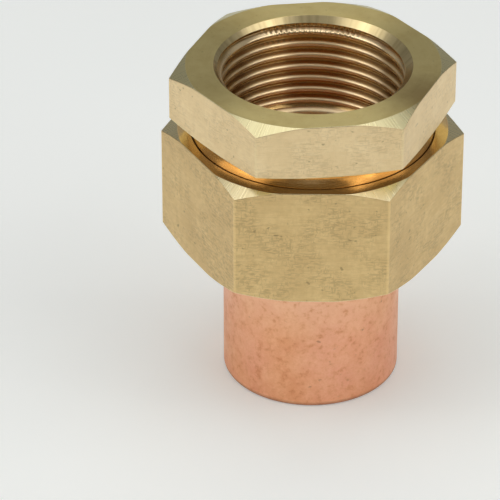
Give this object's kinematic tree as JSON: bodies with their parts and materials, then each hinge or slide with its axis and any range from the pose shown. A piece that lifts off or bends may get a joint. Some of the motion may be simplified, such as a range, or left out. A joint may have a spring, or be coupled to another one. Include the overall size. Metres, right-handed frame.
{
  "type": "pipe union",
  "caption": "Pipe union with a hexagon female-threaded brass end, a hexagon union nut and a plain copper solder tail, shown screwed together.",
  "frame": {"origin": "centre of the copper tail's bottom rim, at the height of the rim", "axes": "+Z along the pipe from the solder tail to the threaded end; +X to a corner of the nut's hexagon, so -Y is square to one of its flats"},
  "size_m": [0.0416, 0.0364, 0.048],
  "materials": {
    "head_brass": "turned and drawn, bright",
    "nut_brass": "drawn flats, fine lines along the draw",
    "tail_copper": "bare copper tube, matt, lightly stained",
    "gasket_fibre": "compressed fibre sheet"
  },
  "bodies": {
    "tail": {"copper_tail": "tail_copper"},
    "gasket": {"seat_gasket": "gasket_fibre"},
    "nut": {"union_nut": "nut_brass"},
    "head": {"female_end": "head_brass"}
  },
  "joints": [
    {"name": "tail_swivel", "type": "hinge", "parent": "tail", "child": "gasket", "pos_m": [0, 0, 0.0274], "axis": [0, 0, 1], "continuous": true},
    {"name": "nut_spin", "type": "hinge", "parent": "gasket", "child": "nut", "pos_m": [0, 0, 0.0297], "axis": [0, 0, -1], "range_deg": [0, 1080]},
    {"name": "head_travel", "type": "slide", "parent": "gasket", "child": "head", "axis": [0, 0, 1], "range_m": [0, 0.00693]}
  ],
  "couplings": [
    {"joint": "head_travel", "follows": "nut_spin", "m_per_rad": 0.0003675}
  ]
}
